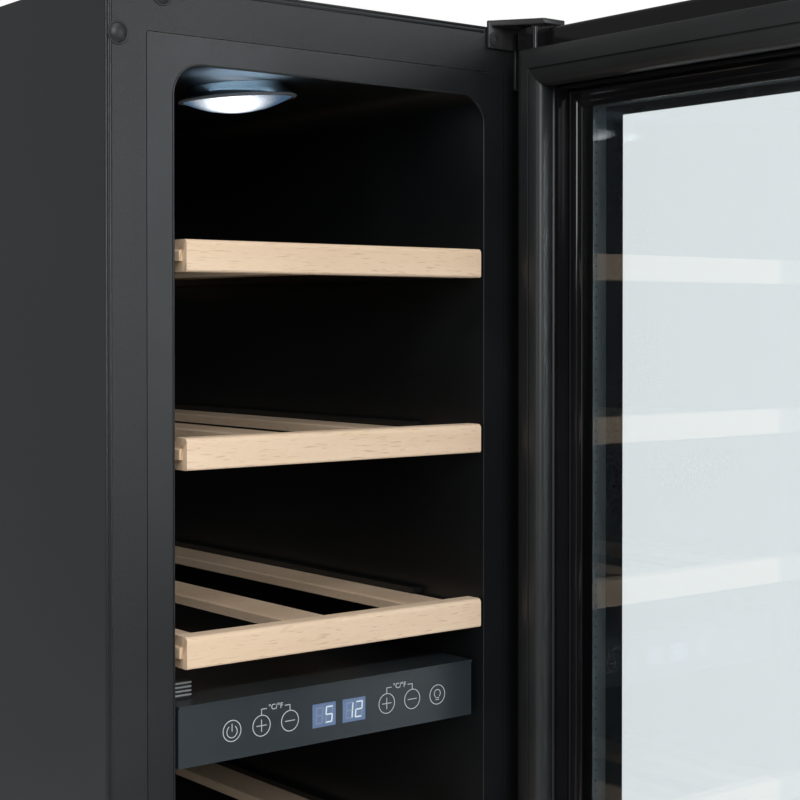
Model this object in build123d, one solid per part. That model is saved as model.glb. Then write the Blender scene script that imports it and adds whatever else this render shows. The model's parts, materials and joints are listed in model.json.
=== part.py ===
import os

from build123d import *

# Undercounter wine cooler, two temperature zones, right-hinged glass door standing open at 90 degrees.
# Working coordinates in mm: X = 0 in the middle of the cabinet, Y = 0 on its front face with +Y to the
# back, Z = 0 on the floor. export() moves all of it so that the origin is under the middle of the
# open cooler's footprint.

# Cabinet
WIDTH = 295.0
HEIGHT = 820.0
DEPTH = 522.0
SHEET = 1.0
HALF = WIDTH / 2
BASE_Z = 18.0  # underside of the base pan
LINER_HALF = 107.5  # half the width inside the liner
LINER_FLOOR = 126.0
LINER_CEILING = 787.0
LINER_BACK = 470.0
LINER_WALL = 2.0
MOUTH_TOP = 778.0  # top edge of the cabinet's opening
MOUTH_CORNER = 17.0
SEAM_SIDE = 24.0  # steel flange width at the sides
SEAM_TOP = 27.0
SEAM_CORNER = 1.4
FLANGE_BOTTOM = 92.0  # lower edge of the steel front frame
STEP_FRONT = 330.0  # the liner steps up over the compressor here
STEP_TOP = 198.0
BAY_TOP = 168.0  # ceiling of the compressor bay

# Zone divider and control panel
PANEL_LOW, PANEL_HIGH = 406.0, 439.0
PANEL_HALF = 102.0
PANEL_FRONT = 5.0
DISPLAY_X = (-15.2, 5.8)
DISPLAY_W, DISPLAY_H = 16.4, 13.4
DISPLAY_LOW = 414.6

# Door, in its closed position
DOOR_LOW, DOOR_HIGH = 96.0, 819.0
HINGE_X, HINGE_Y = 132.55, -18.15
OUTER_GLASS_FACE = -42.5
GLASS = 4.0
FRAME_FACE = -19.0  # inner plane of the door frame
GASKET_FACE = -0.6
INNER_GLASS_BACK = -23.5
RIM_WIDTH = 13.8  # outer rim of the frame, measured from the door's edge
LIP_MARGIN = 40.0  # inner wall of the frame
LIP_TOP = -13.6
GASKET_OUT, GASKET_IN = 14.7, 38.0
GASKET_RIDGE = 27.0  # the gasket's sloping outer band ends here
RETAINER_IN = 50.5
SPACER_TOP = (41.8, 50.0)  # spacer margins above and below the window
SPACER_SIDE = (48.0, 56.7)  # and beside it
HINGE_PIN_R = 4.0
BUSH_R = 5.6
BUSH_LENGTH = 13.0
BRACKET_EDGE = 38.0  # the hinge plates start this far in from the cabinet's side
BRACKET_LEG = 16.5  # width of their lengthwise leg
BRACKET_THICK = 2.4
BRACKET_REACH = 29.0
HANDLE_INSET, HANDLE_REACH = 14.0, 38.0
HANDLE_POSTS = (330.0, 590.0)

# Shelves, from the top down: height of each front batten's top edge
SHELF_TOPS = [686.0, 581.5, 477.0, 322.0, 222.0]
BATTEN_WIDTH, BATTEN_DEPTH, BATTEN_HEIGHT = 204.0, 14.0, 17.0
BATTEN_FRONT = -4.0
RAIL_WIDTH, RAIL_THICK = 28.0, 6.0
RAIL_DROP = 5.5  # rail top below batten top
RAIL_END = 420.0
GROOVE_DEPTH = 10.0
RAIL_OUTER = 104.0

# Lamps, fans and feet
LAMP_Y = 105.0
LAMP_CEILINGS = (LINER_CEILING, PANEL_LOW + 1)
FANS = {"upper_fan": 600.0, "lower_fan": 300.0}
FAN_Y = 446.0
FAN_R = 34.0
CONDENSER_FAN = (-60.5, 402.0, 84.0)
INLET = (92.0, 70.0)  # mains inlet in the rear grille
FOOT_X, FOOT_FRONT, FOOT_REAR = 118.0, 50.0, 480.0


def slab(x0, x1, y0, y1, z0, z1):
    """Box between two corners."""
    centre = Location(((x0 + x1) / 2, (y0 + y1) / 2, (z0 + z1) / 2))
    return centre * Box(x1 - x0, y1 - y0, z1 - z0)


def round_slab(x0, x1, y0, y1, z0, z1, radius):
    """Box whose four edges along Y are rounded."""
    box = slab(x0, x1, y0, y1, z0, z1)
    return fillet(box.edges().filter_by(Axis.Y), radius)


def rod(centre, radius, length, direction):
    """Cylinder that starts at centre and runs along direction."""
    plane = Plane(origin=centre, z_dir=direction)
    return plane * extrude(Circle(radius), length)


def group(solids):
    """Separate solids kept in one node."""
    return Compound(children=list(solids))


def ring(margin_out, margin_in, y0, y1, radius_out=0.0, radius_in=0.0):
    """Frame round the closed door: margins are measured inwards from the door's edge."""
    outer = door_slab(margin_out, y0, y1, radius_out)
    inner = door_slab(margin_in, y0 - 1, y1 + 1, radius_in)
    return outer - inner


def door_slab(margin, y0, y1, radius=0.0):
    """Plate over the closed door, margin inside its edge."""
    sides = (margin - HALF, HALF - margin, y0, y1, DOOR_LOW + margin, DOOR_HIGH - margin)
    return round_slab(*sides, radius) if radius else slab(*sides)


def door_outline(margin, y):
    """Closed rectangle round the closed door, margin inside its edge."""
    x, low, high = HALF - margin, DOOR_LOW + margin, DOOR_HIGH - margin
    return Wire.make_polygon([(-x, y, low), (x, y, low), (x, y, high), (-x, y, high)], close=True)


def opened(solid):
    """Turns a piece of the closed door to the door's rest position, open at 90 degrees."""
    turn = Location((HINGE_X, HINGE_Y, 0)) * Location((0, 0, 0), (0, 0, 90))
    return turn * Location((-HINGE_X, -HINGE_Y, 0)) * solid


def louvres(x0, x1, y0, y1, low, high, pitch, gap):
    """Stack of horizontal slots cut through a panel that faces the front or the back."""
    starts = [low + i * pitch for i in range(int((high - low) / pitch))]
    return Part() + [slab(x0, x1, y0, y1, z, z + gap) for z in starts]


# ---------------------------------------------------------------- cabinet shell


def side_panel(side):
    """Outer steel side with a rolled front edge."""
    x0, x1 = sorted((side * HALF, side * (HALF - SHEET)))
    sheet = slab(x0, x1, 0, DEPTH - SHEET, BASE_Z, HEIGHT - SHEET)
    front = sheet.edges().filter_by(Axis.Z).group_by(Axis.Y)[0]
    return fillet(front, SHEET * 0.45)


def top_panel():
    plate = slab(-HALF, HALF, 0, DEPTH - SHEET, HEIGHT - SHEET, HEIGHT)
    return fillet(plate.edges().filter_by(Axis.X).group_by(Axis.Y)[0], SHEET * 0.45)


def front_frame():
    """Steel flange round the opening, with holes for plugs and hinge screws."""
    outer = slab(-HALF + 1.5, HALF - 1.5, 0, 1.6, FLANGE_BOTTOM, HEIGHT - 1.4)
    outer = fillet(outer.edges().filter_by(Axis.Z).group_by(Axis.Y)[0], 1.2)
    inner = round_slab(
        -HALF + SEAM_SIDE, HALF - SEAM_SIDE, -1, 3, LINER_FLOOR - 15, HEIGHT - SEAM_TOP, SEAM_CORNER
    )
    frame = outer - inner
    for x, z in screw_places():
        frame -= rod((x, -1, z), 2.6, 4, (0, 1, 0))
    return frame


def screw_places():
    """Flange holes at the four corners: hinges use the right-hand ones, plugs close the left-hand ones."""
    top = [(HALF - 33.5, HEIGHT - 7.3), (HALF - 7.5, HEIGHT - 30)]
    low = [(HALF - 33.5, FLANGE_BOTTOM + 8.4), (HALF - 7.5, FLANGE_BOTTOM + 20)]
    right = top + low
    return right + [(-x, z) for x, z in right]


def plug_caps():
    """Domed caps in the left-hand hinge holes."""
    caps = []
    for x, z in screw_places():
        if x > 0:
            continue
        dome = Pos(x, 5.6, z) * Sphere(7.6) & slab(x - 5, x + 5, -3, 0, z - 5, z + 5)
        caps.append(dome + rod((x, 0, z), 2.4, 5, (0, 1, 0)))
    return group(caps)


def hinge_screws():
    """Low-headed screws of both hinge plates."""
    screws = []
    for x, z in screw_places():
        if x < 0:
            continue
        head = rod((x, -BRACKET_THICK - 0.6, z), 4.2, 0.6, (0, 1, 0))
        socket = rod((x, -BRACKET_THICK - 0.7, z), 1.6, 1.3, (0, 1, 0))
        screws.append(head + rod((x, -BRACKET_THICK, z), 2.0, 12, (0, 1, 0)) - socket)
    return group(screws)


def back_panel():
    """Rear sheet above the compressor bay."""
    return slab(-HALF, HALF, DEPTH - SHEET, DEPTH, BAY_TOP + 2, HEIGHT)


def rear_grille():
    """Louvred sheet behind the compressor."""
    sheet = slab(-HALF, HALF, DEPTH - SHEET, DEPTH, BASE_Z, BAY_TOP + 2)
    x, z = INLET
    sheet -= slab(x - 11.5, x + 11.5, DEPTH - 5, DEPTH + 5, z - 7.5, z + 7.5)
    return sheet - louvres(-100, 66, DEPTH - 5, DEPTH + 5, 46, 150, 12, 5)


def base_pan():
    """Steel tray under the cooler, with threaded bosses for the feet."""
    edge = HALF - SHEET
    tray = slab(-edge, edge, 4, DEPTH - SHEET, BASE_Z, BASE_Z + 2)
    tray += slab(-edge, edge, 4, 6, BASE_Z + 2, BASE_Z + 10)
    for x, y in foot_places():
        tray += rod((x, y, BASE_Z + 2), 8, 14, (0, 0, 1))
        tray -= rod((x, y, BASE_Z - 1), 4.06, 30, (0, 0, 1))
    return tray


def foot_places():
    return [(x, y) for y in (FOOT_FRONT, FOOT_REAR) for x in (-FOOT_X, FOOT_X)]


def foot(x, y):
    """Levelling foot: rubber-faced pad on a threaded stem."""
    pad = rod((x, y, 0), 15, 6, (0, 0, 1))
    pad = fillet(pad.edges().group_by(Axis.Z)[-1], 1.5)
    hexagon = Pos(x, y, 6) * extrude(RegularPolygon(10, 6), 5)
    return pad + hexagon + rod((x, y, 11), 4, 22, (0, 0, 1))


def plinth_grille():
    """Louvred plastic plinth below the door."""
    plate = slab(-HALF + 2, HALF - 2, -1.7, 1.8, BASE_Z + 2, FLANGE_BOTTOM - 2)
    plate = fillet(plate.faces().sort_by(Axis.Y)[0].edges(), 1.2)
    return plate - louvres(-118, 118, -3, 6, 32, 80, 8, 3.6)


def foam_insulation():
    """Foamed-in insulation, as the slabs between the shell and the liner."""
    inside, edge = LINER_HALF + LINER_WALL, HALF - SHEET
    top, back = LINER_CEILING + LINER_WALL, LINER_BACK + LINER_WALL
    front, rear = 2.0, DEPTH - SHEET
    step, over = STEP_FRONT + LINER_WALL, STEP_TOP - LINER_WALL
    sides = slab(-edge, edge, front, rear, BASE_Z + 26, HEIGHT - SHEET)
    for x, z in screw_places():
        sides -= rod((x, 0, z), 3, 12, (0, 1, 0))
    return group([
        sides & slab(-edge, -inside, 0, DEPTH, 0, HEIGHT),
        sides & slab(inside, edge, 0, DEPTH, 0, HEIGHT),
        slab(-inside, inside, front, rear, top, HEIGHT - SHEET),
        slab(-inside, inside, back, rear, over, top),
        slab(-inside, inside, front, step, 94, LINER_FLOOR - LINER_WALL),
        slab(-inside, inside, step, step + 16, 94, over),
        slab(-inside, inside, step + 16, rear, BAY_TOP, over),
    ])


def liner_cavity(grow):
    """Space inside the liner, grown outwards by grow."""
    x = LINER_HALF + grow
    front = 2.0 if grow else -1.0
    low, high = LINER_FLOOR - grow, LINER_CEILING + grow
    cavity = round_slab(-x, x, front, LINER_BACK + grow, low, high, MOUTH_CORNER)
    step = slab(-x - 1, x + 1, STEP_FRONT + grow, LINER_BACK + grow + 1, low - 1, STEP_TOP - grow)
    return cavity - step


def inner_liner():
    """Moulded black liner: front flange, walls, step over the compressor and shelf channels."""
    flange = round_slab(
        -HALF + SEAM_SIDE + 0.4,
        HALF - SEAM_SIDE - 0.4,
        0,
        2.0,
        LINER_FLOOR - 14.6,
        HEIGHT - SEAM_TOP - 0.4,
        SEAM_CORNER - 0.4,
    )
    mouth = round_slab(-LINER_HALF, LINER_HALF, -1, 3, LINER_FLOOR, MOUTH_TOP, MOUTH_CORNER)
    inside = liner_cavity(0) & slab(-HALF, HALF, 1.9, DEPTH, 0, HEIGHT)
    liner = (flange - mouth) + (liner_cavity(LINER_WALL) - inside)
    for top in SHELF_TOPS:
        for side in (-1, 1):
            liner += shelf_channel(side, top - RAIL_DROP)
    return liner


def shelf_channel(side, rail_top):
    """Lower runner and upper anti-tip rib that hold one side of a shelf."""
    wall = side * (LINER_HALF + 0.5)
    end = STEP_FRONT - 6 if rail_top < STEP_TOP + 8 else 434
    lower = sorted((wall, side * 99))
    upper = sorted((wall, side * 101.5))
    under = rail_top - RAIL_THICK - 0.3
    runner = slab(*lower, 16, end, under - 5, under)
    return runner + slab(*upper, 60, end, rail_top + 0.6, rail_top + 4)


# ---------------------------------------------------------------- divider and controls


def zone_divider():
    """Insulated partition between the two zones."""
    return slab(-LINER_HALF + 0.4, LINER_HALF - 0.4, 32, 434, PANEL_LOW + 1, PANEL_HIGH - 2)


def control_housing():
    """Plastic box at the front of the divider, with a thin lip along its top and a vent on it."""
    box = slab(-PANEL_HALF, PANEL_HALF, PANEL_FRONT + 1.5, 32, PANEL_LOW, PANEL_HIGH - 1.2)
    room = slab(-PANEL_HALF + 2, PANEL_HALF - 2, PANEL_FRONT, 29, PANEL_LOW + 2, PANEL_HIGH - 4)
    lip = slab(-PANEL_HALF, PANEL_HALF, PANEL_FRONT - 0.8, 32, PANEL_HIGH - 1.2, PANEL_HIGH)
    housing = box - room + lip
    for i in range(4):
        z = PANEL_HIGH + 1.2 + 2.2 * i
        housing += slab(-94, -84, 22, 24, z, z + 1.1)
    return housing + slab(-94, -84, 24, 30, PANEL_HIGH, PANEL_HIGH + 9)


def control_face():
    """Touch panel face plate with two display windows."""
    plate = slab(-PANEL_HALF, PANEL_HALF, PANEL_FRONT, PANEL_FRONT + 1.5, PANEL_LOW, PANEL_HIGH - 1.2)
    for x in DISPLAY_X:
        plate -= slab(x, x + DISPLAY_W, 0, 10, DISPLAY_LOW, DISPLAY_LOW + DISPLAY_H)
    return plate


def displays():
    """Lit segment displays behind the two windows."""
    low, high = DISPLAY_LOW + 0.1, DISPLAY_LOW + DISPLAY_H - 0.1
    blocks = [
        slab(x + 0.1, x + DISPLAY_W - 0.1, PANEL_FRONT + 0.2, PANEL_FRONT + 5, low, high)
        for x in DISPLAY_X
    ]
    return group(blocks)


def control_board():
    board = slab(-94, 94, 12, 13.6, PANEL_LOW + 4, PANEL_HIGH - 7)
    for x in (-68, -49, -30, 48, 66, 84):
        board += rod((x, PANEL_FRONT + 1.6, 421.5), 4, 5.6, (0, 1, 0)) + rod((x, 12, 421.5), 1, 1, (0, -1, 0))
    return board


def lamp_bases():
    """Rings that carry the ceiling lamp of each zone."""
    bases = []
    for ceiling in LAMP_CEILINGS:
        plate = rod((0, LAMP_Y, ceiling), 37.5, 3, (0, 0, -1))
        plate = fillet(plate.edges().group_by(Axis.Z)[0], 1.4)
        bases.append(plate - rod((0, LAMP_Y, ceiling + 1), 31.2, 9, (0, 0, -1)))
    return group(bases)


def lamp_lenses():
    """Domed diffusers under the rings."""
    lenses = []
    for ceiling in LAMP_CEILINGS:
        dome = Pos(0, LAMP_Y, ceiling + 45) * Sphere(55)
        lenses.append(dome & rod((0, LAMP_Y, ceiling - 0.2), 31, 12, (0, 0, -1)))
    return group(lenses)


# ---------------------------------------------------------------- cooling


def fan_cover(low, high):
    """Rear air cover of one zone, with a round grille and a row of outlet slots."""
    half = LINER_HALF - 6
    plate = slab(-half, half, 436, 438.5, low, high)
    middle = (low + high) / 2
    guard = rod((0, 430, middle), FAN_R + 2, 20, (0, 1, 0))
    bars = [slab(-half, half, 436, 438.5, middle + k, middle + k + 2.4) for k in range(-33, 36, 8)]
    cover = (plate - guard) + [bar & guard for bar in bars]
    slots = [slab(x, x + 5, 430, 445, high - 34, high - 12) for x in range(-80, 80, 12)]
    skirt = slab(-half, half, 438.5, LINER_BACK - 0.5, low, high)
    skirt -= slab(2.5 - half, half - 2.5, 430, 480, low + 2.5, high - 2.5)
    return cover - slots + skirt


def fan_rotor(middle, radius, axis_y, depth, shaft_r):
    """Seven-bladed axial rotor that turns about Y, with its bore for the motor shaft."""
    hub = rod((0, axis_y, middle), 12, depth, (0, 1, 0))
    rotor = hub
    for i in range(7):
        blade = slab(9, radius, -1, 1, -5, 5)
        blade = Rot(35, 0, 0) * blade
        blade = Pos(0, axis_y + depth / 2, middle) * Rot(0, i * 360 / 7, 0) * blade
        rotor += blade
    rim = rod((0, axis_y - 1, middle), radius + 0.5, depth + 2, (0, 1, 0))
    rotor = rotor & rim
    return rotor - rod((0, axis_y - 1, middle), shaft_r + 0.05, depth + 3, (0, 1, 0))


def fan_motors():
    """Motors of the two circulation fans, on the evaporator plates."""
    motors = []
    for middle in FANS.values():
        body = rod((0, FAN_Y + 9, middle), 13, 8, (0, 1, 0))
        motors.append(body + rod((0, FAN_Y + 0.5, middle), 1.5, 9, (0, 1, 0)))
    return group(motors)


def evaporator_plates():
    """Flat evaporator behind each air cover."""
    return group(slab(-90, 90, 463, 465.5, z - 70, z + 70) for z in FANS.values())


def temperature_sensors():
    """Probe clipped to the right-hand liner wall in each zone."""
    probes = []
    for z in (640.0, 262.0):
        clip = slab(LINER_HALF - 4, LINER_HALF - 0.2, 400, 424, z, z + 7)
        probes.append(clip + rod((LINER_HALF - 4.5, 394, z + 3.5), 2.2, 36, (0, 1, 0)))
    return group(probes)


def compressor():
    """Welded compressor can with its foot plate and stubs."""
    x, y = 38.0, 430.0
    can = Pos(x, y, 86) * extrude(Ellipse(52, 60), 100)
    can = Pos(0, 0, -50) * can
    can = fillet(can.edges().group_by(Axis.Z)[-1], 22)
    can = fillet(can.edges().group_by(Axis.Z)[0], 14)
    plate = slab(x - 48, x + 48, y - 66, y + 66, 28, 31)
    legs = [rod((x + a, y + b, 20), 5, 8, (0, 0, 1)) for a in (-40, 40) for b in (-58, 58)]
    skirt = rod((x, y, 31), 30, 20, (0, 0, 1))
    return can + plate + skirt + legs


def refrigerant_pipes():
    """Filter drier on its pipe beside the condenser, and the suction pipe up the back."""
    drier = rod((-98, 385, 60), 8, 60, (0, 0, 1)) + rod((-98, 385, 50), 3, 80, (0, 0, 1))
    bends = [(-98, 385, 130), (-98, 385, 152), (-98, 505, 152), (-40, 505, 152), (-40, 505, 60)]
    route = FilletPolyline(*bends, radius=9)
    pipe = sweep(Plane(origin=bends[0], z_dir=(0, 0, 1)) * Circle(3), route)
    return drier + pipe


def condenser():
    """Finned block condenser behind the condenser fan."""
    fins = [slab(-104, -18, 430 + i * 4, 431.4 + i * 4, 34, 134) for i in range(14)]
    tubes = [rod((-94 + 17 * i, 428, 84), 3, 62, (0, 1, 0)) for i in range(5)]
    return tubes[0] + fins + tubes[1:]


def condenser_fan_shroud():
    x, y, z = CONDENSER_FAN
    plate = slab(x - 46, x + 46, y, y + 20, z - 50, z + 46)
    shroud = plate - rod((x, y - 1, z), 40, 30, (0, 1, 0))
    for angle in (45, 135, 225, 315):
        bar = Pos(x, y + 18, z) * Rot(0, angle, 0) * slab(0, 42, -1.5, 1.5, -2.5, 2.5)
        shroud += bar
    shroud += rod((x, y + 12, z), 11, 8, (0, 1, 0)) + rod((x, y + 2, z), 1.5, 12, (0, 1, 0))
    return shroud - slab(x - 60, x + 60, y - 5, y + 30, 10, BASE_Z + 2)


def condenser_fan_rotor():
    x, y, z = CONDENSER_FAN
    return Pos(x, 0, 0) * fan_rotor(z, 37, y + 2.5, 8, 1.5)


def drip_tray():
    """Evaporating tray on top of the compressor."""
    tray = slab(-6, 82, 390, 480, 144, 162)
    return tray - slab(-4, 80, 392, 478, 146, 170)


def mains_inlet():
    """Appliance inlet in the rear grille."""
    x, z = INLET
    body = slab(x - 14, x + 14, DEPTH - 26, DEPTH - SHEET, z - 10, z + 10)
    for dx, dz in ((-7, 0), (0, 3), (7, 0)):
        body += slab(x + dx - 1, x + dx + 1, DEPTH - 6, DEPTH - 1.5, z + dz - 2, z + dz + 2)
    return body - slab(x - 11, x + 11, DEPTH - 18, DEPTH, z - 7, z + 7) + slab(
        x - 1, x + 1, DEPTH - 20, DEPTH - 6, z - 2, z + 2
    )


# ---------------------------------------------------------------- hinges and door


def hinge_bracket(face_edge, wide, narrow, pin_start, outward):
    """L-shaped plate on the flange with a forward leg that carries the pin."""
    right = HALF - 0.5
    front = slab(HALF - BRACKET_EDGE, right, -BRACKET_THICK, 0, *sorted((face_edge, wide)))
    front += slab(HALF - BRACKET_LEG, right, -BRACKET_THICK, 0, *sorted((wide, narrow)))
    front = fillet(front.edges().filter_by(Axis.Y).group_by(Axis.X)[0], 4)
    corners = [(HALF - BRACKET_EDGE, 0), (right, 0), (right, -BRACKET_REACH), (HALF - 17.5, -BRACKET_REACH)]
    leg = Plane.XY.offset(pin_start) * extrude(make_face(Polyline(*corners, close=True)), outward * 3.5)
    leg = fillet(leg.edges().filter_by(Axis.Z).group_by(Axis.Y)[0], 3)
    bracket = front + leg
    for x, z in screw_places():
        bracket -= rod((x, -5, z), 2.6, 12, (0, 1, 0))
    return bracket - rod((HINGE_X, HINGE_Y, pin_start - 5 * outward), HINGE_PIN_R, 20, (0, 0, outward))


def top_hinge_bracket():
    face, low = HEIGHT + 3.7, HEIGHT + 0.2
    bracket = hinge_bracket(HEIGHT + 3.7, HEIGHT - 13, HEIGHT - 36.5, low, 1)
    return bracket & slab(0, HALF, -40, 20, HEIGHT - 60, face)


def bottom_hinge_bracket():
    high = DOOR_LOW - 0.8
    bracket = hinge_bracket(high - 3.5, FLANGE_BOTTOM + 13, FLANGE_BOTTOM + 27, high, -1)
    return bracket & slab(0, HALF, -40, 0, high - 3.5, HEIGHT)


def hinge_pins():
    """Steel pins pressed into the brackets; the door turns on them."""
    deep = BUSH_LENGTH - 2
    upper = rod((HINGE_X, HINGE_Y, DOOR_HIGH - deep), HINGE_PIN_R, HEIGHT + 3.7 - DOOR_HIGH + deep, (0, 0, 1))
    lower = rod((HINGE_X, HINGE_Y, DOOR_LOW - 4.3), HINGE_PIN_R, 4.3 + deep, (0, 0, 1))
    return group([upper, lower])


def hinge_bushes():
    """Plastic bushes in the door frame's corners."""
    bushes = []
    for start, way in ((DOOR_HIGH - 0.2, -1), (DOOR_LOW + 0.2, 1)):
        bush = rod((HINGE_X, HINGE_Y, start), BUSH_R, BUSH_LENGTH, (0, 0, way))
        bushes.append(bush - rod((HINGE_X, HINGE_Y, start), HINGE_PIN_R + 0.04, BUSH_LENGTH - 1, (0, 0, way)))
    return group(bushes)


def door_frame():
    """Black frame behind the outer glass: raised rim, gasket channel, inner lip and hinge bosses."""
    seat = OUTER_GLASS_FACE + GLASS
    floor = FRAME_FACE - 5
    frame = ring(0.6, LIP_MARGIN, seat, floor)
    frame += ring(0.6, RIM_WIDTH, floor, FRAME_FACE, 0, 2)
    frame = fillet(frame.faces().sort_by(Axis.Y)[-1].outer_wire().edges(), 2.5)
    frame += ring(LIP_MARGIN - 2, LIP_MARGIN, floor, LIP_TOP, 2, 1)
    for low in (DOOR_LOW + 0.6, DOOR_HIGH - RIM_WIDTH - 0.4):
        boss = slab(HINGE_X - 8, HINGE_X + 8, floor, HINGE_Y + 7.6, low, low + RIM_WIDTH - 0.2)
        frame += fillet(boss.edges().filter_by(Axis.Z).group_by(Axis.Y)[-1], 2)
    for start, way in ((DOOR_HIGH + 1, -1), (DOOR_LOW - 1, 1)):
        frame -= rod((HINGE_X, HINGE_Y, start), BUSH_R, BUSH_LENGTH + 1.2, (0, 0, way))
    frame -= ring(21, 25, floor - 4, floor + 1)
    return frame


def door_gasket():
    """Soft magnetic gasket: dart in the channel, folded waist, and a bulb whose outer band slopes up to a
    grooved flat face."""
    base = FRAME_FACE - 5
    gasket = ring(15.2, 30, base, base + 4)
    gasket += ring(21.4, 24.6, base - 3.4, base + 1)
    gasket += ring(15.2, 36.6, base + 4, base + 8, 0, 2)
    gasket += ring(17, 35, base + 8, base + 11, 0, 2)
    slope_start = GASKET_FACE - 4
    gasket += ring(GASKET_OUT, GASKET_IN, base + 11, slope_start, 0, 3)
    outlines = [door_outline(GASKET_OUT, slope_start), door_outline(GASKET_RIDGE, GASKET_FACE)]
    face = Part() + Solid.make_loft(outlines, True)
    face -= door_slab(GASKET_IN, slope_start - 1, GASKET_FACE + 1, 3)
    face = fillet(face.faces().sort_by(Axis.Y)[-1].inner_wires()[0].edges(), 2.4)
    return gasket + face - ring(27.4, 28.4, GASKET_FACE - 1, GASKET_FACE + 1)


def inner_retainer():
    """Clip-in strip that holds the inner glass, thinner towards the window."""
    back, start = INNER_GLASS_BACK, LIP_MARGIN + 0.2
    return ring(start, RETAINER_IN, back, back + 0.6, 0, 2) + ring(start, 46, back + 0.6, back + 1.4, 0, 2)


def outer_glass():
    pane = door_slab(0, OUTER_GLASS_FACE, OUTER_GLASS_FACE + GLASS, 2.5)
    return chamfer(pane.faces().sort_by(Axis.Y)[0].outer_wire().edges(), 0.7)


def inner_glass():
    return door_slab(LIP_MARGIN + 1, INNER_GLASS_BACK - GLASS, INNER_GLASS_BACK)


def glass_spacer():
    """Perforated aluminium spacer between the two panes."""
    y0, y1 = OUTER_GLASS_FACE + GLASS, INNER_GLASS_BACK - GLASS
    blocks = []
    for side, end, spare in zip(SPACER_SIDE, SPACER_TOP, (0, 1)):
        blocks.append(slab(side - HALF, HALF - side, y0 - spare, y1 + spare, DOOR_LOW + end, DOOR_HIGH - end))
    return blocks[0] - blocks[1]


def door_handle():
    """Square-section pull bar on two posts at the free edge."""
    x, out = -HALF + HANDLE_INSET, OUTER_GLASS_FACE
    bar = slab(x - 7, x + 7, out - HANDLE_REACH, out - HANDLE_REACH + 12, 300, 620)
    bar = fillet(bar.edges(), 2.5)
    for z in HANDLE_POSTS:
        bar += slab(x - 5, x + 5, out - 30, out, z - 7, z + 7)
        bar -= rod((x, out - 20, z), 2.05, 21, (0, 1, 0))
    return bar


def handle_screws():
    """Screws from inside the door into the handle posts."""
    x = -HALF + HANDLE_INSET
    screws = []
    for z in HANDLE_POSTS:
        shank = rod((x, OUTER_GLASS_FACE - 18, z), 2.0, 24.5, (0, 1, 0))
        screws.append(shank + rod((x, OUTER_GLASS_FACE + 6.5, z), 4, 2.5, (0, 1, 0)))
    return group(screws)


def with_handle_holes(solid, radius, start, length):
    """Cuts the two handle screw holes through a door piece."""
    for z in HANDLE_POSTS:
        solid -= rod((-HALF + HANDLE_INSET, start, z), radius, length, (0, 1, 0))
    return solid


# ---------------------------------------------------------------- shelves


def shelf_batten(top):
    """Beech front batten with rounded long edges and an open groove along its back."""
    half, rear = BATTEN_WIDTH / 2, BATTEN_FRONT + BATTEN_DEPTH
    batten = slab(-half, half, BATTEN_FRONT, rear, top - BATTEN_HEIGHT, top)
    batten = fillet(batten.edges().filter_by(Axis.X).group_by(Axis.Z)[-1], 2.6)
    batten = fillet(batten.edges().filter_by(Axis.X).group_by(Axis.Z)[0], 1.4)
    low = top - RAIL_DROP - RAIL_THICK
    return batten - slab(-half - 1, half + 1, rear - GROOVE_DEPTH, rear + 1, low - 0.1, low + RAIL_THICK + 0.1)


def shelf_rails(top):
    """Three lengthwise beech rails and the cross slat stapled under their rear ends."""
    high = top - RAIL_DROP
    low = high - RAIL_THICK
    start = BATTEN_FRONT + BATTEN_DEPTH - GROOVE_DEPTH + 0.3
    end = RAIL_END if low > STEP_TOP + 4 else STEP_FRONT - 8
    rails = []
    for middle in (RAIL_WIDTH / 2 - RAIL_OUTER, 0, RAIL_OUTER - RAIL_WIDTH / 2):
        rail = slab(middle - RAIL_WIDTH / 2, middle + RAIL_WIDTH / 2, start, end, low, high)
        rails.append(fillet(rail.edges().filter_by(Axis.Y).group_by(Axis.Z)[-1], 1.2))
    return group([*rails, slab(-97, 97, end - 26, end - 2, low - 8, low)])


# ---------------------------------------------------------------- export

OPEN_LOW_X, OPEN_HIGH_X = -HALF, HINGE_X + HINGE_Y - OUTER_GLASS_FACE + HANDLE_REACH
OPEN_FRONT_Y = HINGE_Y - HINGE_X - HALF
ORIGIN = Location((-(OPEN_LOW_X + OPEN_HIGH_X) / 2, -(OPEN_FRONT_Y + DEPTH) / 2, 0))


def export(name, shape):
    solids = [ORIGIN * solid for solid in shape.solids()]
    export_step(group(solids) if len(solids) > 1 else solids[0], f"parts/{name}.step")


def cabinet_nodes():
    return {
        "left_side_panel": side_panel(-1),
        "right_side_panel": side_panel(1),
        "top_panel": top_panel(),
        "front_frame": front_frame(),
        "back_panel": back_panel(),
        "rear_grille": rear_grille(),
        "base_pan": base_pan(),
        "plinth_grille": plinth_grille(),
        "foam_insulation": foam_insulation(),
        "inner_liner": inner_liner(),
        "plug_caps": plug_caps(),
        "zone_divider": zone_divider(),
        "control_housing": control_housing(),
        "control_face": control_face(),
        "displays": displays(),
        "control_board": control_board(),
        "lamp_bases": lamp_bases(),
        "lamp_lenses": lamp_lenses(),
        "upper_air_cover": fan_cover(450, 750),
        "lower_air_cover": fan_cover(210, 390),
        "fan_motors": fan_motors(),
        "evaporator_plates": evaporator_plates(),
        "temperature_sensors": temperature_sensors(),
        "compressor": compressor(),
        "condenser": condenser(),
        "condenser_fan_shroud": condenser_fan_shroud(),
        "refrigerant_pipes": refrigerant_pipes(),
        "drip_tray": drip_tray(),
        "mains_inlet": mains_inlet(),
        "top_hinge_bracket": top_hinge_bracket(),
        "bottom_hinge_bracket": bottom_hinge_bracket(),
        "hinge_pins": hinge_pins(),
        "hinge_screws": hinge_screws(),
    }


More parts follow.
